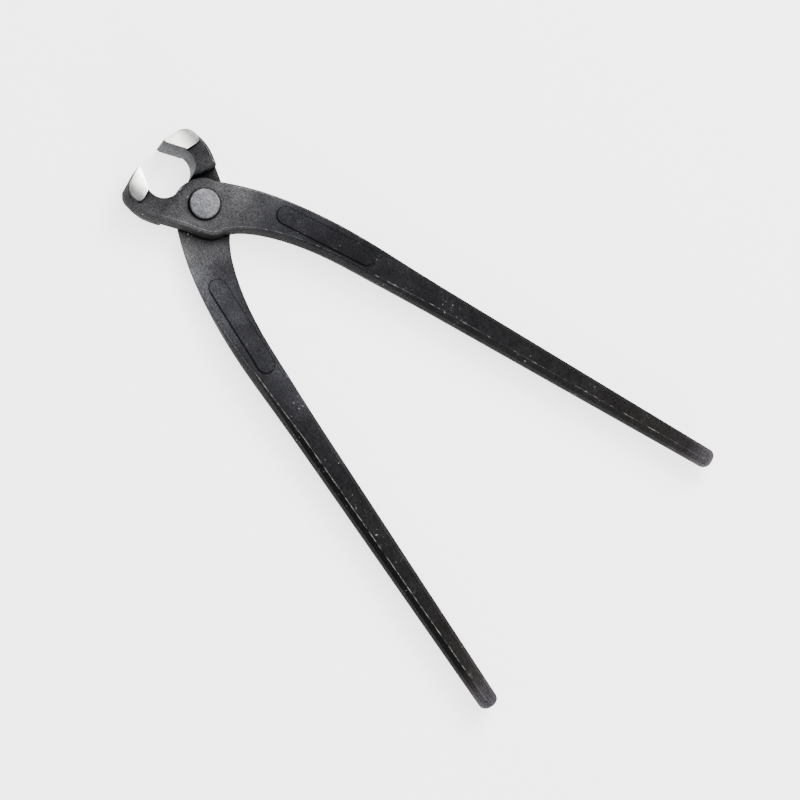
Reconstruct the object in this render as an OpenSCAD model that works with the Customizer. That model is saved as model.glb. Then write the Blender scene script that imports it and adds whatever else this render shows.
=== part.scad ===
// End cutting nippers: two forged levers that cross and lap on one rivet.
// The rivet axis is upright, the handles point along +X, and the origin is the
// centre of the lower rivet head's flat face, on which the tool rests.

/* [Head] */
// Rivet axis to the cutting edges
jaw_reach = 26.5; // [25:0.5:32]
// Width of a cutting edge, along the rivet axis
jaw_w = 15.2; // [13:0.1:20]
// Height of the flat ground front of a jaw
front_h = 7.4; // [5.5:0.1:8.5]
// Length of the ground pad on the side of a jaw
pad_len = 7.1; // [5.5:0.1:8.5]
// Depth of the ground pad below the cutting edge
pad_h = 11.2; // [10:0.1:12.5]
// Length of the narrow land behind a cutting edge
land_len = 1.2; // [0.6:0.1:2]
// How far the land falls away from the cutting edge
land_drop = 0.25; // [0.1:0.05:0.5]
// Diameter of the round throat between the jaws
throat_d = 12.6; // [10:0.1:13]
// Metal between the boss circle and the throat
throat_set = 0.5; // [0.2:0.1:2]
// Offset of the throat's centre from the line where the jaws meet
throat_lift = 0.3; // [0:0.1:0.8]
// Rise of the neck's back above the line where the jaws meet
neck_back = 12.9; // [12:0.1:15]

/* [Joint] */
// Thickness of one lever at the lap
lap_t = 6; // [4.5:0.1:7]
// Diameter of the round boss about the rivet
boss_d = 19.2; // [17:0.1:21]
// Radial room between a boss and the recess that it turns in
boss_gap = 0.6; // [0.4:0.1:1]
// Rivet axis to the milled shoulder where the recess ends
shoulder_x = 9.7; // [9:0.1:11]
// Rounding of the shoulder's rim
shoulder_r = 2.6; // [1:0.1:3.5]
// Gap between the two lapped faces
lap_gap = 0.1; // [0.04:0.02:0.2]
// Diameter of the rivet's shank
shank_d = 7; // [5:0.1:8.5]
// Diameter of a rivet head
rivet_d = 10.8; // [9.6:0.1:13]
// Height of a rivet head
rivet_h = 1.6; // [0.8:0.1:3]
// Bevel round the rim of a rivet head
rivet_bevel = 0.25; // [0.1:0.05:0.5]
// Radial clearance between the shank and the bore that turns on it
run_gap = 0.05; // [0.02:0.01:0.1]
// Radial clearance between the shank and the bore that holds it
seat_gap = 0.02; // [0.01:0.01:0.05]

/* [Handles] */
// Rivet axis to the handle ends
handle_reach = 200.5; // [160:0.5:260]
// Rivet axis to where the bowed part ends and the straight grip starts
bow_x = 60; // [52:1:75]
// Width of a handle where the straight grip starts
bow_w = 10.2; // [8.5:0.1:12]
// Width of a handle at its end
end_w = 6.1; // [5:0.1:8]
// Thickness of the straight grip
grip_t = 8.4; // [7:0.1:10]
// Thickness of a handle at its end
end_t = 7.9; // [6.5:0.1:9.5]
// Gap between the grips of the closed tool
grip_gap = 15.8; // [12:0.2:22]
// Radius of the corners at a handle end
end_r = 2.4; // [1.5:0.1:2.9]
// Bevel along the edges of the head
head_bevel = 0.9; // [0.4:0.05:1.4]
// Bevel along the edges of the bowed part
bow_bevel = 0.55; // [0.4:0.05:1]
// Bevel along the edges of the straight grip
grip_bevel = 1.6; // [0.8:0.05:2]
// Angle at which the side faces lean out to the parting line of the forging
draft = 8; // [2:0.5:10]

/* [Plaque] */
// Length of the raised blank plaque on a handle
plaque_len = 38; // [30:0.2:40]
// Width of the plaque
plaque_w = 6.2; // [4.5:0.1:6.6]
// Height of the plaque above the handle
plaque_h = 0.5; // [0.3:0.1:0.8]
// Rivet axis to the middle of the plaque
plaque_x = 42.7; // [42:0.1:44]
// Distance of the plaque's middle from the closed tool's axis
plaque_y = 11.85; // [11.5:0.05:12.2]
// Lean of the plaque away from the grip's direction
plaque_lean = 3.2; // [1:0.2:5]

/* [Pose] */
// Angle between the levers, counted from the closed tool
open_angle = 28.4; // [2:0.1:50]

/* [Hidden] */

steel_colour = [0.2, 0.2, 0.21];
ground_colour = [0.78, 0.77, 0.74];
rivet_colour = [0.5, 0.5, 0.52];

// Segments of a curve that a sweep follows
curve_steps = 12;
// Segments of a true circle
$fn = 64;
// How far a cut runs past what it cuts
over = 1;
// How far a surface that runs out into another one crosses it
bite = 0.05;

boss_r = boss_d / 2;
throat_r = throat_d / 2;
throat_at = [-boss_r - throat_set - throat_r, throat_lift];
grip_y = grip_gap / 2;
end_x = handle_reach - end_r;
mid_z = lap_t + run_gap + rivet_h;

// Where the two edges of the handle leave the joint, as shares of the boss radius
root_top_share = [0.26, 1.115];
root_low_share = [1.37, -0.27];
// Guide points of the bowed edges, as shares of where the straight grip starts
bow_top_shares = [[0.317, 0.926], [0.667, 1.035]];
bow_low_shares = [[0.32, 0.31], [0.617, 1.02]];
// Back of the jaw and neck, as shares of the jaw's reach and the neck's back
back_shares = [
    [-0.96, -0.46], [-0.962, -0.61], [-0.95, -0.74], [-0.905, -0.845], [-0.83, -0.92],
    [-0.75, -0.965], [-0.64, -0.995], [-0.55, -0.985], [-0.47, -0.96], [-0.38, -0.92],
    [-0.28, -0.87], [-0.18, -0.82]
];
// Knuckle below the rivet, as shares of the boss radius
knuckle_shares = [
    [-0.2, -1.03], [0.05, -1.005], [0.35, -0.965], [0.62, -0.9], [0.86, -0.8],
    [1.01, -0.65], [1.15, -0.44]
];
// Corner points of the ground pad, as shares of its length and depth
pad_shares = [
    [0.16, -0.84], [0.34, -0.935], [0.56, -0.985], [0.81, -1], [0.95, -0.94], [1, -0.82]
];
// Blunt inner end of the neck, buried in the jaw, as shares of the jaw's reach and the neck's back
bury_shares = [[-0.725, -0.233], [-0.8, -0.465], [-0.915, -0.45]];
// Which share of the inner points each share of the outer points faces, from the handle to the jaw
facing_shares = [[0, 0], [0.46, 0.72], [0.81, 0.93], [1, 1]];
// Where the lap face starts and stops falling away to the grip, as shares of the bow
fall_start_share = 0.31;
fall_end_share = 1.03;
// Where the outer face starts and stops thinning to the grip, as shares of the bow
thin_start_share = 0.28;
thin_end_share = 1.25;
// Where the bevel starts and stops growing to the grip's, as shares of the bow
bevel_start_share = 1.05;
bevel_end_share = 1.45;
// Rows of the grip between the bow and the end, as shares of the straight length
grip_shares = [0.03, 0.11, 0.2, 0.6, 1];
// Guide points of the lap face's fall, as shares of its length and depth
fall_shares = [[0.3, 0], [0.65, 0.9]];

function scaled(shares, w, h) = [for (s = shares) [s[0] * w, s[1] * h]];
function clamp01(t) = max(0, min(1, t));
function fade(x, x0, x1) = clamp01((x - x0) / (x1 - x0));
function bezier(a, b, c, d, t) =
    a * pow(1 - t, 3) + b * 3 * t * pow(1 - t, 2) + c * 3 * t * t * (1 - t) + d * pow(t, 3);

// A smooth curve through points, cut in so many steps between each two
function mid_curve(a, b, c, d, t) =
    (b * 2 + (c - a) * t + (a * 2 - b * 5 + c * 4 - d) * t * t
     + (b * 3 - a - c * 3 + d) * t * t * t) / 2;
function through(pts, steps) = [
    for (i = [0:len(pts) - 2], s = [0:steps - 1])
        mid_curve(pts[max(i - 1, 0)], pts[i], pts[i + 1],
                  pts[min(i + 2, len(pts) - 1)], s / steps),
    pts[len(pts) - 1]
];

// The point where a line from p touches a circle, on the circle's lower left
function touch_point(centre, r, p) =
    let (d = centre - p, reach = norm(d), turn = acos(min(1, r / reach)),
         aim = atan2(-d[1], -d[0]) + turn)
    centre + r * [cos(aim), sin(aim)];

// Half the thickness of the lever blank, and its bevel, along the handle
function half_t(x) =
    lap_t - (lap_t - grip_t / 2) * fade(x, bow_x * thin_start_share, bow_x * thin_end_share)
    - (grip_t - end_t) / 2 * fade(x, bow_x * thin_end_share, end_x);
function bevel(x) =
    head_bevel + (bow_bevel - head_bevel) * fade(x, boss_r, bow_x * thin_start_share)
    + (grip_bevel - bow_bevel) * fade(x, bow_x * bevel_start_share, bow_x * bevel_end_share);

// Both edges of a handle, from the joint to the end
root_top = root_top_share * boss_r;
root_low = root_low_share * boss_r;
bow_top = [bow_x, grip_y + bow_w];
bow_low = [bow_x, grip_y];
top_guides = scaled(bow_top_shares, bow_top[0], bow_top[1]);
low_guides = scaled(bow_low_shares, bow_low[0], bow_low[1]);
end_top = [end_x, grip_y + end_w];
end_low = [end_x, grip_y];
top_edge = [
    for (i = [0:curve_steps]) bezier(root_top, top_guides[0], top_guides[1], bow_top, i / curve_steps),
    for (s = grip_shares) bow_top + (end_top - bow_top) * s
];
low_edge = [
    for (i = [0:curve_steps]) bezier(root_low, low_guides[0], low_guides[1], bow_low, i / curve_steps),
    for (s = grip_shares) bow_low + (end_low - bow_low) * s
];
corner_step = 22.5;
end_edge = [
    for (a = [-90 + corner_step:corner_step:0])
        [end_x, grip_y + end_r] + end_r * [cos(a), sin(a)],
    for (a = [0:corner_step:90 - corner_step])
        [end_x, grip_y + end_w - end_r] + end_r * [cos(a), sin(a)]
];

// Inner side of the head: the top of the boss, over the throat's centre, into the jaw
boss_step = 10;
inner_edge = [
    for (a = [90:boss_step:180]) boss_r * [cos(a), sin(a)],
    throat_at,
    each scaled(bury_shares, jaw_reach, neck_back)
];
// Outer side of the head: the back of the jaw and neck, and the knuckle
outer_edge = through([
    each scaled(back_shares, jaw_reach, neck_back),
    each scaled(knuckle_shares, boss_r, boss_r)
], 2);

inner_n = len(inner_edge);
outer_n = len(outer_edge);
head_n = inner_n + outer_n;
pair_n = len(low_edge);
end_n = len(end_edge);
lever_edge = [
    each inner_edge,
    each outer_edge,
    each low_edge,
    each end_edge,
    for (i = [pair_n - 1:-1:0]) top_edge[i]
];
edge_n = len(lever_edge);

// A point of a closed outline moved inwards by d, along the mean of its two edges' normals
function left_of(a, b) = [a[1] - b[1], b[0] - a[0]] / norm(b - a);
function inset_point(pts, i, d) =
    let (n = len(pts), p = pts[i],
         u = left_of(pts[(i + n - 1) % n], p), v = left_of(p, pts[(i + 1) % n]))
    p + d * (u + v) / (1 + u * v);

// One ring of the blank: side counts the bevels above or below the parting line
function ring(side) = [
    for (i = [0:edge_n - 1])
        let (p = lever_edge[i], b = bevel(p[0]), h = half_t(p[0]) - b,
             q = inset_point(lever_edge, i, side == 0 ? -h * tan(draft) : (abs(side) - 1) * b))
        [q[0], q[1], side == 0 ? 0 : sign(side) * (h + (abs(side) - 1) * b)]
];
function low_at(k) = head_n + k;
function top_at(k) = edge_n - 1 - k;
// The head's face as triangles across it, from each outer point to its share of the inner points
function inner_at(k) = k == 0 ? top_at(0) : k - 1;
function facing(k) = round(inner_n * lookup(k / outer_n, facing_shares));
cap = [
    for (k = [0:outer_n - 1]) each [
        [head_n - 1 - k, head_n - k, inner_at(facing(k))],
        for (j = [facing(k) + 1:1:facing(k + 1)]) [head_n - 1 - k, inner_at(j - 1), inner_at(j)]
    ],
    for (k = [0:pair_n - 2]) each [
        [low_at(k), low_at(k + 1), top_at(k + 1)],
        [low_at(k), top_at(k + 1), top_at(k)]
    ],
    [for (i = [low_at(pair_n - 1):top_at(pair_n - 1)]) i]
];
function lifted(face, level) = [for (i = face) i + level * edge_n];
function backwards(face) = [for (i = [len(face) - 1:-1:0]) face[i]];

// Forged blank of one lever, drafted and bevelled, as thick on one side as on the other
module blank() {
    polyhedron(
        points = [for (side = [-2:2]) each ring(side)],
        faces = [
            for (f = cap) lifted(f, 0),
            for (f = cap) lifted(backwards(f), 4),
            for (level = [0:3], i = [0:edge_n - 1]) let (j = (i + 1) % edge_n) each [
                [i + level * edge_n, i + (level + 1) * edge_n, j + (level + 1) * edge_n],
                [i + level * edge_n, j + (level + 1) * edge_n, j + level * edge_n]
            ]
        ]
    );
}

// Jaw with its flat front, ground side pads, bevel and narrow land at the cutting edge
module jaw() {
    land_end = [-jaw_reach + land_len, -land_drop];
    linear_extrude(jaw_w, center = true)
        polygon([
            [-jaw_reach, 0],
            [-jaw_reach, -front_h],
            for (s = pad_shares) [-jaw_reach + s[0] * pad_len, s[1] * pad_h],
            [-jaw_reach + pad_len, throat_at[1] - throat_r / 2],
            touch_point(throat_at, throat_r - bite, land_end),
            land_end
        ]);
}

// Side view of the lap face, from the joint to where it meets the grip
fall_x = bow_x * fall_start_share;
fall_end_x = bow_x * fall_end_share;
fall_len = fall_end_x - fall_x;
fall_depth = half_t(fall_end_x) + bite;
fall_guides = scaled(fall_shares, fall_len, -fall_depth);
fall_line = [
    for (i = [0:curve_steps])
        bezier([fall_x, 0], [fall_x, 0] + fall_guides[0], [fall_x, 0] + fall_guides[1],
               [fall_end_x, -fall_depth], i / curve_steps)
];

// Side view of the shoulder's rounded rim
rim_step = 15;
rim_at = [bite - shoulder_x - shoulder_r, shoulder_r - lap_t - bite];
rim_line = [for (a = [-90:rim_step:0]) rim_at + shoulder_r * [cos(a), sin(a)]];

// A plate that is drawn in side view and stands across the handle
across = grip_y + bow_w + neck_back;
module side_plate(outline) {
    rotate([90, 0, 0])
        linear_extrude(2 * across, center = true)
            polygon(outline);
}

// Everything that is milled or forged away below one lever's half of the lap
module lap_recess() {
    translate([0, 0, lap_gap / 2])
        mirror([0, 0, 1])
            linear_extrude(jaw_w) {
                circle(r = boss_r + lap_t * tan(draft) + boss_gap);
                translate([-shoulder_x, -across])
                    square([shoulder_x + fall_x, 2 * across]);
            }
    side_plate([[rim_at[0], -jaw_w], each rim_line, [0, rim_at[1]], [0, -jaw_w]]);
    side_plate([
        [fall_x - over, 0],
        each fall_line,
        [fall_end_x + over, -fall_depth - over],
        [fall_end_x + over, -jaw_w],
        [fall_x - over, -jaw_w]
    ]);
}

module stadium(len, w, h) {
    for (side = [-1, 1])
        translate([side * (len - w) / 2, 0, 0])
            cylinder(h = h, d = w, center = true);
    cube([len - w, w, h], center = true);
}

// The blank plaques, one on each face of the handle
module plaques() {
    from_x = plaque_x - plaque_len / 2 - over;
    to_x = plaque_x + plaque_len / 2 + over;
    intersection() {
        translate([plaque_x, plaque_y, 0])
            rotate([0, 0, plaque_lean])
                stadium(plaque_len, plaque_w, jaw_w);
        union() {
            side_plate([
                [from_x, half_t(from_x) + plaque_h],
                [from_x, half_t(from_x) - over],
                [to_x, half_t(to_x) - over],
                [to_x, half_t(to_x) + plaque_h]
            ]);
            side_plate([
                for (p = fall_line) p - [0, plaque_h],
                [to_x, -half_t(to_x) - plaque_h],
                [to_x, over - half_t(to_x)],
                for (i = [curve_steps:-1:0]) fall_line[i] + [0, over]
            ]);
        }
    }
}

// One lever in the closed tool: jaw below the tool's axis, handle above it, lap face down
module lever(bore_r) {
    difference() {
        union() {
            color(steel_colour) difference() {
                blank();
                lap_recess();
            }
            color(steel_colour) plaques();
            color(ground_colour) jaw();
        }
        translate([throat_at[0], throat_at[1], -jaw_w])
            cylinder(h = 2 * jaw_w, r = throat_r);
        translate([0, 0, -jaw_w])
            cylinder(h = 2 * jaw_w, r = bore_r);
    }
}

module front_lever() {
    translate([0, 0, mid_z])
        rotate([0, 0, open_angle / 2])
            lever(shank_d / 2 + seat_gap);
}

// The same forging, turned over about the tool's axis
module rear_lever() {
    translate([0, 0, mid_z])
        rotate([0, 0, -open_angle / 2])
            rotate([180, 0, 0])
                lever(shank_d / 2 + run_gap);
}

// Rivet with a flat head on both sides
module rivet() {
    head_r = rivet_d / 2;
    seat_z = mid_z + lap_t;
    low_seat_z = rivet_h;
    color(rivet_colour)
        rotate_extrude()
            polygon([
                [0, 0],
                [head_r - rivet_bevel, 0],
                [head_r, rivet_bevel],
                [head_r, low_seat_z],
                [shank_d / 2, low_seat_z],
                [shank_d / 2, seat_z],
                [head_r, seat_z],
                [head_r, seat_z + rivet_h - rivet_bevel],
                [head_r - rivet_bevel, seat_z + rivet_h],
                [0, seat_z + rivet_h]
            ]);
}

front_lever();
rear_lever();
rivet();
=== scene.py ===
# %% [markdown]
# End cutting nippers, dressed in Blender. Two forged steel levers cross on a rivet, and their
# jaws meet in two ground edges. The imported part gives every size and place, so the first cell
# loads it as a fixed frame and measures its box before anything is added. The part's solids have
# sharp edges and a real forging has none, so the pieces below are made from copies of the solids
# and get rounded edges, a forged skin and ground jaws. The scene counts in metres, so a
# millimetre has a name.

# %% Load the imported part
import math

import bmesh
import bpy
from mathutils import Matrix, Vector


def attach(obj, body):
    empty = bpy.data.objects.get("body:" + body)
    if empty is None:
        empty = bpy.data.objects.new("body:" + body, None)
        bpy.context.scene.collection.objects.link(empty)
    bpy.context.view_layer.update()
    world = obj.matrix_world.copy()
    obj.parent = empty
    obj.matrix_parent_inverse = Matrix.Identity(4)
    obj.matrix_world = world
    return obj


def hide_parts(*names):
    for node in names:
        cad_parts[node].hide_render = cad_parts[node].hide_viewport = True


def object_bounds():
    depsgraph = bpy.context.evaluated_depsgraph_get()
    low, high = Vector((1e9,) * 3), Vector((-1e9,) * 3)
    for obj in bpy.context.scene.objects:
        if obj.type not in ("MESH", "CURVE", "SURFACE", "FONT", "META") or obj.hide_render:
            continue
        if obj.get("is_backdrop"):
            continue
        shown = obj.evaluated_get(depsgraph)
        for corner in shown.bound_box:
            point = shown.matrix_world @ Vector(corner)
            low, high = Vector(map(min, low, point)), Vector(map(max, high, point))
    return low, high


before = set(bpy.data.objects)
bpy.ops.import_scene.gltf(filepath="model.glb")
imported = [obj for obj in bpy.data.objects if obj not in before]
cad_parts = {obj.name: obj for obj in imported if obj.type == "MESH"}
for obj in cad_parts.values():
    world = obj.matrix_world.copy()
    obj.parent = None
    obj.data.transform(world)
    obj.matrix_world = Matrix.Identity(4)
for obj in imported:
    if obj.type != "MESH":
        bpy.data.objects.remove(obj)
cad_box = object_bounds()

mm = 0.001


def in_mm(box):
    return [[round(v / mm, 2) for v in corner] for corner in box]


print("part box in mm", in_mm(cad_box))

# %% [markdown]
# Both levers are the same forging. Each could be described where it lies in the tool, but then
# every rule about its faces would be needed twice. It is easier to take a lever back to the die
# that it was forged in. There the cutting edge lies on the line y = 0, the handle runs along x on
# the side of positive y, and the two halves of the die parted at z = 0. These matrices lead from
# the die to the place in the tool, where the parting plane lies 7.65 mm above the table. The
# front lever is only turned about the rivet, by half the angle at which the tool is open, and the
# rear lever is turned over first.

# %% Places of the two levers
parting_height = 7.65 * mm
half_open = math.radians(14.2)
lifted = Matrix.Translation((0, 0, parting_height))
turned_over = Matrix.Rotation(math.pi, 4, "X")
places = {
    "front_lever": lifted @ Matrix.Rotation(half_open, 4, "Z"),
    "rear_lever": lifted @ Matrix.Rotation(-half_open, 4, "Z") @ turned_over,
}
bodies = {"front_lever": "front", "rear_lever": "rear"}
print("levers", list(places), "open by", round(2 * math.degrees(half_open), 1), "degrees")

# %% [markdown]
# A finish is a small graph of nodes that ends in one shader. It could be painted as an image,
# but a pattern that reads the object's own coordinates needs no unwrapping and stays sharp from
# close by. The first helper makes the material, adds a node with its inputs, and feeds a socket
# with a link or with a plain value.


# %% A material and its nodes
class Graph:
    def __init__(self, name):
        self.material = bpy.data.materials.new(name)
        self.material.use_nodes = True
        self.tree = self.material.node_tree
        self.shader = self.tree.nodes["Principled BSDF"]
        self.place = self.tree.nodes.new("ShaderNodeTexCoord").outputs["Object"]

    def feed(self, socket, value):
        if isinstance(value, bpy.types.NodeSocket):
            self.tree.links.new(value, socket)
        else:
            socket.default_value = value

    def add(self, kind, inputs, output=0, **settings):
        node = self.tree.nodes.new(kind)
        for key, value in settings.items():
            setattr(node, key, value)
        for key, value in inputs.items():
            self.feed(node.inputs[key], value)
        return node.outputs[output]

    def set(self, **values):
        for key, value in values.items():
            self.feed(self.shader.inputs[key.replace("_", " ")], value)

    def done(self):
        print("finish", self.material.name, "has", len(self.tree.nodes), "nodes")
        return self.material


# %% [markdown]
# Patterns come next. Noise is given the size of its blotches, and a stretch where the pattern is
# drawn out in one direction, as scratches are. A step turns a range of values into another one,
# with soft ends. Most values of a noise lie between 0.3 and 0.7, so vary() takes that range. How
# open a place is to the sky within some room tells the deep corners from the rest. An attribute
# is a number that the modelling cells further down store on each face.


# %% Patterns
class Patterns(Graph):
    def noise(self, size, detail, roughness=0.55, stretch=None):
        where = self.place
        if stretch:
            where = self.add("ShaderNodeMapping", {"Vector": where, "Scale": stretch})
        return self.add("ShaderNodeTexNoise", {
            "Vector": where, "Scale": 1 / size, "Detail": detail, "Roughness": roughness})

    def step(self, value, low, high, to_low=0.0, to_high=1.0):
        return self.add("ShaderNodeMapRange", {
            "Value": value, "From Min": low, "From Max": high,
            "To Min": to_low, "To Max": to_high}, interpolation_type="SMOOTHSTEP")

    def vary(self, noise, at_low, at_high, reach=0.2):
        return self.step(noise, 0.5 - reach, 0.5 + reach, at_low, at_high)

    def open_to_sky(self, room):
        return self.add("ShaderNodeAmbientOcclusion", {"Distance": room}, output=1, samples=8)

    def attribute(self, name):
        return self.add("ShaderNodeAttribute", {}, output=2, attribute_name=name)

    def x_and_y(self):
        split = self.add("ShaderNodeSeparateXYZ", {0: self.place}).node
        return split.outputs["X"], split.outputs["Y"]


# %% [markdown]
# The last helper mixes the patterns into colours and heights. A ramp looks a colour up, scaled()
# makes one darker or lighter, and blend() goes from one to another. A bump layer is a pattern
# with its depth in metres, laid over the layer before, so the grain has the depth of a real one.


# %% Mixing patterns
class Finish(Patterns):
    def times(self, a, b):
        return self.add("ShaderNodeMath", {0: a, 1: b}, operation="MULTIPLY")

    def larger(self, a, b):
        return self.add("ShaderNodeMath", {0: a, 1: b}, operation="MAXIMUM")

    def scaled(self, colour, share):
        return self.add("ShaderNodeVectorMath", {0: colour, "Scale": share}, operation="SCALE")

    def blend(self, share, a, b):
        return self.add("ShaderNodeMix", {0: share, 6: a, 7: b}, output=2, data_type="RGBA")

    def ramp(self, value, stops):
        out = self.add("ShaderNodeValToRGB", {"Fac": value})
        band = out.node.color_ramp
        while len(band.elements) < len(stops):
            band.elements.new(0.5)
        for element, (at, colour) in zip(band.elements, stops):
            element.position = at
            element.color = (*colour, 1)
        return out

    def bump(self, *layers):
        normal = None
        for height, depth in layers:
            inputs = {"Height": height, "Distance": depth, "Strength": 1.0}
            if normal is not None:
                inputs["Normal"] = normal
            normal = self.add("ShaderNodeBump", inputs)
        self.feed(self.shader.inputs["Normal"], normal)


# %% [markdown]
# Forged skin, and first its colour. A hot forging leaves the die with a rough skin, and a
# phosphate bath turns it black. It is lighter at the joint, at the ends of the handles and on the
# bow of the rear lever, partly from wear and partly as painted sheen where the flat tops mirror
# the softboxes. One colour would lose that, and painted patches would need unwrapping. So a ramp
# gives the colour by the distance along the tool in millimetres, and a soft window across it
# lightens the rear bow with more painted sheen.

# %% Skin colour and painted sheen along the tool
skin_and_sheen_by_x = [
    (-19, (0.019, 0.019, 0.021)),
    (-9, (0.031, 0.031, 0.033)),
    (0, (0.079, 0.079, 0.082)),
    (10, (0.059, 0.059, 0.062)),
    (22, (0.027, 0.027, 0.032)),
    (42, (0.011, 0.011, 0.0132)),
    (70, (0.010, 0.010, 0.0118)),
    (100, (0.008, 0.008, 0.009)),
    (165, (0.010, 0.009, 0.0085)),
    (182, (0.018, 0.016, 0.016)),
    (191, (0.06, 0.055, 0.063)),
]
ramp_start, ramp_end = -30, 200
rear_bow_from = (-40 * mm, -22 * mm)
rear_bow_to = (-25 * mm, -9 * mm)
rear_bow_sheen_gain = 2.5


def skin_and_sheen_colour(f, x, y):
    share = f.add("ShaderNodeMapRange", {
        "Value": x, "From Min": ramp_start * mm, "From Max": ramp_end * mm})
    length = ramp_end - ramp_start
    base = f.ramp(share, [((at - ramp_start) / length, colour) for at, colour in skin_and_sheen_by_x])
    rear_bow = f.times(f.step(y, *rear_bow_from), f.step(y, *rear_bow_to, 1, 0))
    return f.scaled(base, f.step(rear_bow, 0, 1, 1, rear_bow_sheen_gain))


print("skin colours", len(skin_and_sheen_by_x), "from", skin_and_sheen_by_x[0][0], "to", skin_and_sheen_by_x[-1][0], "mm")

# %% [markdown]
# The skin's grain. It has clouds of some 9 mm, where the scale came off unevenly, and a mottle of
# half a millimetre, which makes it look blasted. Both only scale the colour. Deep corners get
# painted shade, nearly black, where the crevice shadow falls. They are found with two looks at
# the sky, a wide one for the pocket beside the lap and a narrow one for the line round a plaque.

# %% Grain and painted shade in corners
cloud_size, cloud_depth = 9 * mm, 0.8 * mm
mottle_size, mottle_depth = 0.5 * mm, 0.14 * mm
grain_size, grain_depth = 0.42 * mm, 0.05 * mm
cloud_gains, mottle_gains = (0.72, 1.22), (0.5, 1.45)
pocket_room, pocket_limits, pocket_shade_depth = 8 * mm, (0.45, 0.95), 0.02
crease_room, crease_limits, crease_shade_depth = 0.8 * mm, (0.74, 0.96), 0.08


def with_grain(f, base, cloud, mottle):
    base = f.scaled(base, f.vary(cloud, *cloud_gains, reach=0.18))
    return f.scaled(base, f.vary(mottle, *mottle_gains))


# Painted shade: places with little open sky are darkened, down to near black.
def with_painted_corner_shade(f, base):
    pocket = f.step(f.open_to_sky(pocket_room), *pocket_limits, pocket_shade_depth, 1)
    crease = f.step(f.open_to_sky(crease_room), *crease_limits, crease_shade_depth, 1)
    return f.scaled(f.scaled(base, pocket), crease)


# %% [markdown]
# Darkened faces. The steep sides are partly unworn skin and partly painted shade, the rim of a
# plaque gets a painted shadow line, and the outer sides of the handles get the deepest painted
# shade. No pattern can find these, so they come from two attributes stored on the faces. The
# outer sides darken little by little behind the bow, because a jump from one face to the next
# would show from the side.

# %% Painted shade on the sides
outer_shade_from = (45 * mm, 90 * mm)
deepest_side_shade = 0.12


# Painted shade: steep faces, the plaque's rim and the outer sides are darkened.
def with_unworn_and_shaded_sides(f, base, x, before_end):
    outer = f.times(f.attribute("outer"), f.step(x, *outer_shade_from))
    black = f.times(f.larger(f.attribute("shade_and_unworn"), outer), before_end)
    return f.scaled(base, f.step(black, 0, 1, 1, deepest_side_shade))


# %% [markdown]
# Bare metal shows as flecks, which come in patches where the tool was knocked. Along the ridges
# the bright lines are partly rubbed metal and partly painted highlight, where the rounded edges
# catch the lamps. A number on each rounded face says how bright its line is. It is multiplied
# with a noise before the threshold, so that a high number gives a nearly whole line and a low one
# a row of dashes.

# %% Bare metal and painted ridge highlights
bare_steel_and_highlight = (0.5, 0.49, 0.48, 1)
patch_size, patch_limits = 9 * mm, (0.52, 0.66)
fleck_size, fleck_limits = 0.8 * mm, (0.65, 0.71)
dash_size, dash_limits = 3 * mm, (0.3, 0.46)
between_patches, fleck_strength = 0.03, 0.55


def bare_and_highlight_share(f, rub_and_highlight, before_end):
    patches = f.step(f.noise(patch_size, 2), *patch_limits, between_patches, 1)
    flecks = f.times(f.step(f.noise(fleck_size, 3), *fleck_limits), patches)
    dashes = f.step(f.times(rub_and_highlight, f.noise(dash_size, 6, 0.75)), *dash_limits)
    rub = f.times(f.times(rub_and_highlight, dashes), before_end)
    return f.larger(f.times(flecks, fleck_strength), rub)


# %% [markdown]
# The forged skin put together. It reflects little, so it is rough and has a low specular level.
# With more, the bright table would show in every side that is seen at a flat angle. Only the
# bare metal is metallic. The ends of the handles are worn evenly, so before_end fades the painted
# side shade and the ridge lines out over the last stretch. The ridge lines also lighten their
# rounded faces as painted highlight.

# %% Forged skin
end_wear_from = (170 * mm, 188 * mm)
ridge_highlight_gain = 2.6
skin_roughness, skin_specular = (0.9, 0.72), 0.1
bare_metallic = 0.8


def forged_skin():
    f = Finish("forged_skin")
    x, y = f.x_and_y()
    before_end = f.step(x, *end_wear_from, 1, 0)
    rub_and_highlight = f.attribute("rub_and_highlight")
    cloud = f.noise(cloud_size, 6, 0.6)
    mottle = f.noise(mottle_size, 3, 0.6)
    grain = f.noise(grain_size, 2)
    base = with_painted_corner_shade(f, with_grain(f, skin_and_sheen_colour(f, x, y), cloud, mottle))
    base = with_unworn_and_shaded_sides(f, base, x, before_end)
    # Marked rounded faces are lightened here, as painted highlight.
    base = f.scaled(base, f.step(rub_and_highlight, 0, 1, 1, ridge_highlight_gain))
    bare = bare_and_highlight_share(f, rub_and_highlight, before_end)
    f.set(Base_Color=f.blend(bare, base, bare_steel_and_highlight), Metallic=f.times(bare, bare_metallic),
          Roughness=f.vary(mottle, *skin_roughness), Specular_IOR_Level=skin_specular)
    f.bump((cloud, cloud_depth), (mottle, mottle_depth), (grain, grain_depth))
    return f.done()


forged = forged_skin()

# %% [markdown]
# Ground steel. The sides of the jaws are ground bright on a belt, which leaves fine scratches
# along them. The metal is bare, so the shader is fully metallic, and a noise that is drawn out
# along x makes the scratches. Belts also leave low waves. The pad is bright beside the cutting
# edge and darker towards the back of the jaw, as painted shade where its convex face turns away
# from the lamps.

# %% Ground steel
belt_bright = (0.97, 0.955, 0.9, 1)
pad_shade_colour = (0.1, 0.1, 0.099, 1)
pad_shade_from = (8 * mm, 15 * mm)
wave_size, wave_depth = 5 * mm, 0.15 * mm
scratch_size, scratch_depth = 0.35 * mm, 0.02 * mm
along_x = (0.15, 1, 1)
wave_gains, belt_roughness = (0.85, 1.06), (0.26, 0.42)


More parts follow.
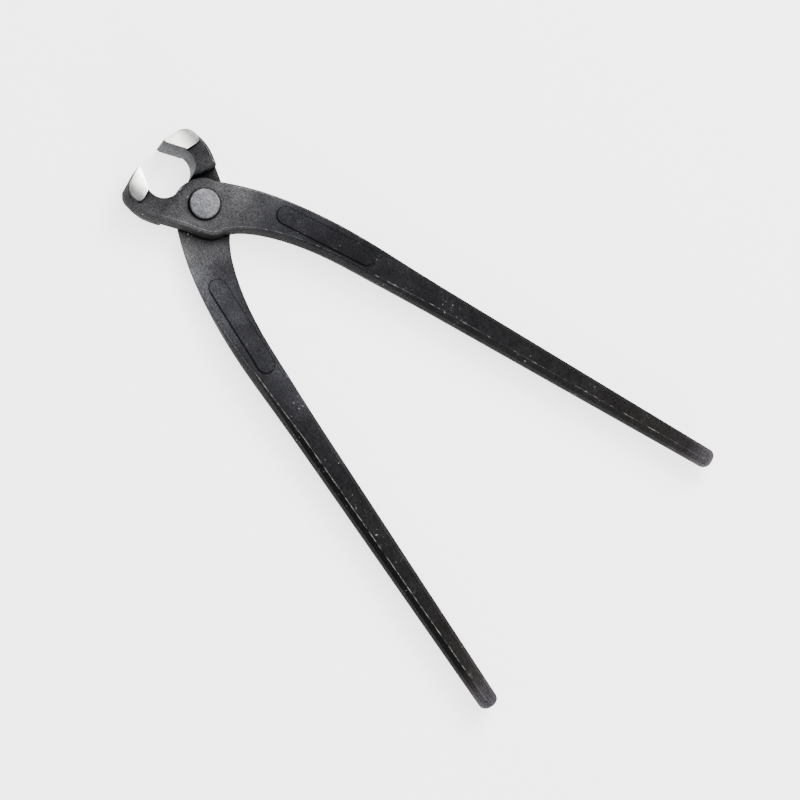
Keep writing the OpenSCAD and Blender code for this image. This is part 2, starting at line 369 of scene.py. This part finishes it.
# Painted shade: the pad's colour darkens away from the cutting edge.
def ground_steel():
    f = Finish("ground_steel")
    waves = f.noise(wave_size, 3)
    scratches = f.noise(scratch_size, 3, 0.6, stretch=along_x)
    from_middle = f.add("ShaderNodeMath", {0: f.x_and_y()[1]}, operation="ABSOLUTE")
    base = f.blend(f.step(from_middle, *pad_shade_from), belt_bright, pad_shade_colour)
    f.set(Base_Color=f.scaled(base, f.vary(waves, *wave_gains)), Metallic=1.0,
          Roughness=f.vary(scratches, *belt_roughness))
    f.bump((waves, wave_depth), (scratches, scratch_depth))
    return f.done()


ground = ground_steel()

# %% [markdown]
# Milled steel. The inner faces of the jaws and the round throat were cut with a mill before the
# tool was blackened. They are greyer than the skin and show the cutter's fine steps, which run
# along the rivet's direction, so one noise is drawn out along z. A second one is the grain that
# the black bath left, and a faint haze changes how shiny the face is.

# %% Milled steel
milled_dark = (0.035, 0.037, 0.042)
milled_light = (0.07, 0.073, 0.082)
cutter_size, cutter_depth = 0.5 * mm, 0.025 * mm
bath_size, bath_depth = 0.5 * mm, 0.03 * mm
haze_size = 3 * mm
along_z = (1, 1, 0.04)
bath_gains, milled_roughness = (0.5, 1.5), (0.6, 0.75)


def milled_steel():
    f = Finish("milled_steel")
    haze = f.noise(haze_size, 4)
    steps = f.noise(cutter_size, 2, 0.5, stretch=along_z)
    grain = f.noise(bath_size, 3, 0.6)
    base = f.ramp(steps, [(0.35, milled_dark), (0.65, milled_light)])
    f.set(Base_Color=f.scaled(base, f.vary(grain, *bath_gains)), Metallic=0.2,
          Roughness=f.vary(haze, *milled_roughness), Specular_IOR_Level=0.2)
    f.bump((steps, cutter_depth), (grain, bath_depth))
    return f.done()


milled = milled_steel()

# %% [markdown]
# Rivet steel. The rivet's head was hammered flat and then rubbed by hands and rags, so it is
# lighter and shinier than the levers. It has broad smears, the fine dents of the hammer, and
# small pits that kept their black. The value unpitted is 1 on the flat and falls to 0 in a pit,
# and it darkens the colour and lowers the surface at the same places.

# %% Rivet steel
rivet_dark = (0.055, 0.055, 0.062)
rivet_light = (0.105, 0.105, 0.113)
pit_black = (0.03, 0.03, 0.033, 1)
smear_size = 2.6 * mm
dent_size, dent_depth = 0.55 * mm, 0.05 * mm
pit_size, pit_depth, pit_limits = 0.9 * mm, 0.03 * mm, (0.3, 0.42)
dent_gains, rivet_roughness = (0.4, 1.6), (0.36, 0.5)


def rivet_steel():
    f = Finish("rivet_steel")
    smears = f.noise(smear_size, 4)
    dents = f.noise(dent_size, 3)
    unpitted = f.step(f.noise(pit_size, 2), *pit_limits)
    base = f.ramp(smears, [(0.35, rivet_dark), (0.65, rivet_light)])
    base = f.scaled(base, f.vary(dents, *dent_gains))
    f.set(Base_Color=f.blend(unpitted, pit_black, base), Metallic=0.7,
          Roughness=f.vary(dents, *rivet_roughness))
    f.bump((dents, dent_depth), (unpitted, pit_depth))
    return f.done()


finishes = [forged, ground, milled, rivet_steel()]
forged_slot, ground_slot, milled_slot, rivet_slot = range(len(finishes))

# %% [markdown]
# A node of the part is a heap of loose triangles. Its copy is merged into one closed skin first,
# and the triangles of each flat face are joined, so that only true edges are left. Steps shorter
# than 0.15 mm, which a forging would not show, are closed up too, because rounding them would
# fold the skin. The copy gets the three numbers for each face that the forged skin reads.

# %% A clean copy of a node
same_corner = 0.005 * mm
close_corners = 0.06 * mm
sliver = 0.01 * mm
short_step = 0.15 * mm
flat_within = math.radians(0.3)
face_numbers = ("rub_and_highlight", "shade_and_unworn", "outer")


def clean_copy(node):
    shape = bmesh.new()
    shape.from_mesh(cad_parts[node].data)
    bmesh.ops.remove_doubles(shape, verts=shape.verts, dist=same_corner)
    bmesh.ops.dissolve_limit(
        shape, angle_limit=flat_within, verts=shape.verts, edges=shape.edges)
    bmesh.ops.remove_doubles(shape, verts=shape.verts, dist=close_corners)
    for length in (sliver, short_step):
        bmesh.ops.dissolve_degenerate(shape, dist=length, edges=shape.edges)
    for name in face_numbers:
        shape.faces.layers.float.new(name)
    print(node, "true faces", len(shape.faces))
    return shape


# %% [markdown]
# Edges. Tumbling in grit rounds every edge of a forging a little. A Bevel modifier could do that,
# but the operator also hands back the faces that it made, and those carry the rubbed metal and
# the painted ridge highlight.


# %% Rounding edges
def angle_of(edge):
    return math.degrees(edge.calc_face_angle(0)) if edge.is_manifold else 0


def round_edges(shape, edges, width, segments):
    made = bmesh.ops.bevel(
        shape, geom=edges, offset=width, offset_type="OFFSET", segments=segments,
        profile=0.5, affect="EDGES", material=-1, clamp_overlap=False,
    )
    return made["faces"]


# %% [markdown]
# A finished piece. The shape becomes a mesh, smooth except at edges of more than 38 degrees, and
# its object stays at the origin. It rides on its body and takes the place of its node of the
# part, which is hidden. Every piece carries all four finishes, and each face says by its index
# which one it has.

# %% A finished piece
sharp_from = math.radians(38)


def finish_piece(shape, name, body, node):
    for face in shape.faces:
        face.smooth = True
    mesh = bpy.data.meshes.new(name)
    shape.to_mesh(mesh)
    shape.free()
    for material in finishes:
        mesh.materials.append(material)
    mesh.set_sharp_from_angle(angle=sharp_from)
    piece = bpy.data.objects.new(name, mesh)
    bpy.context.scene.collection.objects.link(piece)
    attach(piece, body)
    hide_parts(node)
    mesh.calc_loop_triangles()
    print(name, "triangles", len(mesh.loop_triangles))


# %% [markdown]
# Which face of a lever has which finish. All lengths are in millimetres in the die. The pads on
# the jaws' sides are the only faces 7.6 mm from the parting plane. The throat is a cylinder, so
# its wall is known by the distance from the throat's centre, as far as the boss, which starts at
# x = -9. The inner face of a jaw lies beyond x = -18 and looks along y. How flat a face lies is
# read from the z of its normal, which is 0 for an upright wall and 1 for a level top.

# %% Finishes of a lever's faces
pad_level = 7.6
throat_centre = Vector((-16.4, 0.3))
throat_radius = 6.3
throat_end = -9
inner_face_end = -18
near_pad, near_throat = 0.1, 0.2
wall_flatness, inner_flatness, along_y = 0.2, 0.1, 0.5


def finish_of(face):
    centre = face.calc_center_median() / mm
    n = face.normal
    if abs(abs(centre.z) - pad_level) < near_pad:
        return ground_slot
    from_throat = (centre.xy - throat_centre).length
    in_throat = from_throat < throat_radius + near_throat and centre.x < throat_end
    if in_throat and abs(n.z) < wall_flatness:
        return milled_slot
    if centre.x < inner_face_end and abs(n.z) < inner_flatness and n.y > along_y:
        return milled_slot
    return forged_slot


# %% [markdown]
# The plaque is the long raised field on the handle, 38 by 6.2 mm, which leans by 3.2 degrees with
# the bow. A place is turned back into the plaque's own directions, and then it is a simple
# comparison whether it lies within the plaque and a narrow margin for its rim.

# %% Where the plaque is
plaque_middle = Vector((42.7, 11.85))
plaque_turn = Matrix.Rotation(-math.radians(3.2), 2)
plaque_size = Vector((38, 6.2))
plaque_margin = 0.6
plaque_reach = plaque_size / 2 + Vector((plaque_margin, plaque_margin))
print("plaque with its rim, mm", [round(2 * v, 1) for v in plaque_reach])


def on_plaque(centre):
    at = centre.xy - plaque_middle
    at.rotate(plaque_turn)
    return abs(at.x) < plaque_reach.x and abs(at.y) < plaque_reach.y


# %% [markdown]
# How bright the rounded edges are, partly from rubbing and partly as painted highlight. Each
# lever has its own list of marks. A mark holds where it starts and ends along the lever, the side
# that it is on, -1 for the edge towards negative y and 1 for the other, and how bright the edge
# is. Only edges that face up in the tool get marks, and not those of the plaque, which lie low on
# the handle.

# %% Rub marks and painted ridge highlights
rub_and_highlight_marks = {
    "front_lever": [(-12, 60, -1, 0.6), (8, 60, 1, 0.66), (60, 186, -1, 0.64)],
    "rear_lever": [
        (-24, -9, -1, 0.7), (28, 60, 1, 0.64), (60, 92, 1, 0.72),
        (92, 135, 1, 0.9), (135, 167, 1, 0.72),
    ],
}
up_enough, side_enough = 0.72, 0.1
print("rub marks", {node: len(marks) for node, marks in rub_and_highlight_marks.items()})


def rub_and_highlight_of(face, node):
    at = face.calc_center_median() / mm
    faces_up = (places[node].to_3x3() @ face.normal).z > up_enough
    if on_plaque(at) or not faces_up:
        return 0.0
    return max((rub for start, end, side, rub in rub_and_highlight_marks[node]
                if start < at.x < end and face.normal.y * side > side_enough), default=0.0)


# %% [markdown]
# Which faces are darkened. The plaque's rim gets all of it, as a painted shadow line round the
# raised plaque, and its field a little, for its lettering. Steep faces get most, partly unworn
# skin and partly painted shade. The band at the parting plane was trimmed and is as light as the
# tops.
# The outer side of the handle, from the bow to the end, is marked apart, because its painted
# shade comes in gradually.

# %% Darkened and outer faces
plaque_rim_shadow, plaque_field_black, steep_shade_and_unworn = 1.0, 0.35, 0.7
rim_flatness, steep_flatness, outer_flatness, outward = 0.9, 0.6, 0.93, 0.15
parting_reach = 0.2 * mm
handle_start = 31


# Painted shade: the plaque's rim as a shadow line, and the steep faces.
def shade_and_unworn_of(face):
    flatness = abs(face.normal.z)
    if all(on_plaque(v.co / mm) for v in face.verts):
        return plaque_rim_shadow if flatness < rim_flatness else plaque_field_black
    at_parting = all(abs(v.co.z) < parting_reach for v in face.verts)
    return steep_shade_and_unworn if flatness < steep_flatness and not at_parting else 0.0


def is_outer(face):
    at = face.calc_center_median() / mm
    leans_out = face.normal.y > outward and abs(face.normal.z) < outer_flatness
    return at.x > handle_start and leans_out and not on_plaque(at)


# %% [markdown]
# Which edges are rounded. Where the two halves of the die met, the drafted sides form a blunt
# edge all round the handle and the jaw's back, and trimming left a narrow flat band there. A
# bevel of one segment cuts it. All other edges above 22 degrees get a small round. The cusp where
# the throat meets the lap is too crowded for that and stays sharp, as the mill left it.

# %% Edges of a lever
parting_angles = (5, 22)
parting_width = 0.2 * mm
round_width = 0.12 * mm
near_parting = 0.02
jaw_back = (-25.5, -12)
cusp_x, cusp_y = (-11.6, -9.4), (-4, 1.6)


def within(value, limits):
    return limits[0] < value < limits[1]


def on_parting(at):
    return abs(at.z) < near_parting and (at.x > handle_start or within(at.x, jaw_back))


def in_cusp(edge):
    middle = (edge.verts[0].co + edge.verts[1].co) / 2 / mm
    return within(middle.x, cusp_x) and within(middle.y, cusp_y)


def round_lever(shape):
    low, high = parting_angles
    parting = [e for e in shape.edges
               if low < angle_of(e) <= high and all(on_parting(v.co / mm) for v in e.verts)]
    round_edges(shape, parting, parting_width, 1)
    sharp = [e for e in shape.edges if angle_of(e) > high and not in_cusp(e)]
    print("parting edges", len(parting), "sharp edges", len(sharp))
    return round_edges(shape, sharp, round_width, 3)


# %% [markdown]
# The levers themselves. Each copy is taken back to the die, gets its finishes, its rounded edges
# and the three numbers on its faces, and returns to its place in the tool.

# %% The levers
for node, place in places.items():
    shape = clean_copy(node)
    shape.transform(place.inverted())
    shape.normal_update()
    for face in shape.faces:
        face.material_index = finish_of(face)
    rounded = round_lever(shape)
    shape.normal_update()
    rub_and_highlight, shade_and_unworn, outer = (shape.faces.layers.float[name] for name in face_numbers)
    for face in rounded:
        face[rub_and_highlight] = rub_and_highlight_of(face, node)
    for face in shape.faces:
        face[shade_and_unworn] = shade_and_unworn_of(face)
        face[outer] = is_outer(face)
    print(node, "rubbed faces", sum(face[rub_and_highlight] > 0 for face in rounded))
    shape.transform(place)
    finish_piece(shape, node + "_forging", bodies[node], node)

# %% [markdown]
# The rivet has two flat heads on one shank, and it is closed by hammering, which rounds the rim a
# little. Only the flat of a head is rubbed bright. The wall of the head keeps the forged skin,
# whose painted shade in corners darkens it and draws the dark crescent beside it. It is set fast
# in the front lever, so it rides on that body.

# %% The rivet
head_flatness = 0.6
rim_angle = 30
shape = clean_copy("rivet")
shape.normal_update()
for face in shape.faces:
    face.material_index = rivet_slot if abs(face.normal.z) > head_flatness else forged_slot
rims = [e for e in shape.edges if angle_of(e) > rim_angle]
print("rivet rim edges", len(rims))
round_edges(shape, rims, round_width, 2)
finish_piece(shape, "rivet_body", "front", "rivet")

# %% [markdown]
# The stage. The tool lies on a plain white table, a single grid face that reaches far past the
# picture. White paint under soft lamps renders grey, and brighter lamps would wash out the black
# steel, so the table also glows a little by itself.

# %% Floor
table_half = 6.0
table_glow = 2.4
floor_shape = bmesh.new()
bmesh.ops.create_grid(floor_shape, x_segments=1, y_segments=1, size=table_half)
floor_mesh = bpy.data.meshes.new("floor")
floor_shape.to_mesh(floor_mesh)
floor_shape.free()
floor = bpy.data.objects.new("floor", floor_mesh)
bpy.context.scene.collection.objects.link(floor)
table = Finish("white_table")
table.set(Base_Color=(0.93, 0.93, 0.93, 1), Roughness=0.9,
          Emission_Color=(1, 1, 1, 1), Emission_Strength=table_glow)
floor_mesh.materials.append(table.done())
floor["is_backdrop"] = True

# %% [markdown]
# Light. A large softbox hangs over the tool, a little behind it, so that the flat faces mirror
# it. A second one lights the far edges, and a small low one beyond the handles' ends picks out
# the near sides. Spot lamps would be simpler, but their hard shadows would show on the table. All
# three look at the middle of the tool.

# %% Softboxes
tool_middle = Vector((0.08, 0, 0))


def softbox(name, at, size, power):
    light = bpy.data.lights.new(name, "AREA")
    light.shape = "SQUARE"
    light.size = size
    light.energy = power
    lamp = bpy.data.objects.new(name, light)
    lamp.location = at
    lamp.rotation_euler = (tool_middle - Vector(at)).to_track_quat("-Z", "Y").to_euler()
    bpy.context.scene.collection.objects.link(lamp)
    print("softbox", name, "of", size, "m,", power, "W")


softbox("overhead", at=(0.05, 0.35, 1.4), size=1.2, power=22)
softbox("far_side", at=(-0.1, 1.0, 1.1), size=0.8, power=28)
softbox("handle_end", at=(1.2, -0.6, 0.5), size=0.5, power=13)

# %% [markdown]
# The room. Studio walls send back a little of the lamps' light, so that no side of the tool goes
# quite black. Walls could be built, but a world of one dim white does the same and has no corners
# that would show in the ground pads.

# %% The room
room_light = 0.35
world = bpy.data.worlds.new("studio")
world.use_nodes = True
room = world.node_tree.nodes["Background"]
room.inputs["Color"].default_value = (1, 1, 1, 1)
room.inputs["Strength"].default_value = room_light
bpy.context.scene.world = world
print("room light", room_light)

# %% [markdown]
# The camera stands two metres off with a long lens, 16 degrees from straight above, as for a
# product photo. It could be placed by eye, but a render can only be compared with the photograph
# if both views agree. So its place, turn and lens were found by matching named corners of the
# part to the photograph.

# %% Camera
camera_place = (0.04697, -0.54929, 1.91208)
camera_turn = (10.9209, -11.9086, 41.7613)
lens = bpy.data.cameras.new("photo_view")
lens.sensor_width = 36
lens.lens = 255.33
lens.clip_start = 0.1
lens.clip_end = 20
camera = bpy.data.objects.new("photo_view", lens)
camera.location = camera_place
camera.rotation_euler = [math.radians(a) for a in camera_turn]
bpy.context.scene.collection.objects.link(camera)
bpy.context.scene.camera = camera
print("camera", round(Vector(camera_place).length, 2), "m off, lens", round(lens.lens, 1), "mm")

# %% [markdown]
# Last, the box of the dressed tool is printed beside the part's own. Rounding takes a little off
# the corners, so it may only be smaller.

# %% Sizes and finish
sizes = {"cad": [list(c) for c in cad_box], "visual": [list(c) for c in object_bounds()]}
for name, box in sizes.items():
    print(name, "box in mm", in_mm(box))
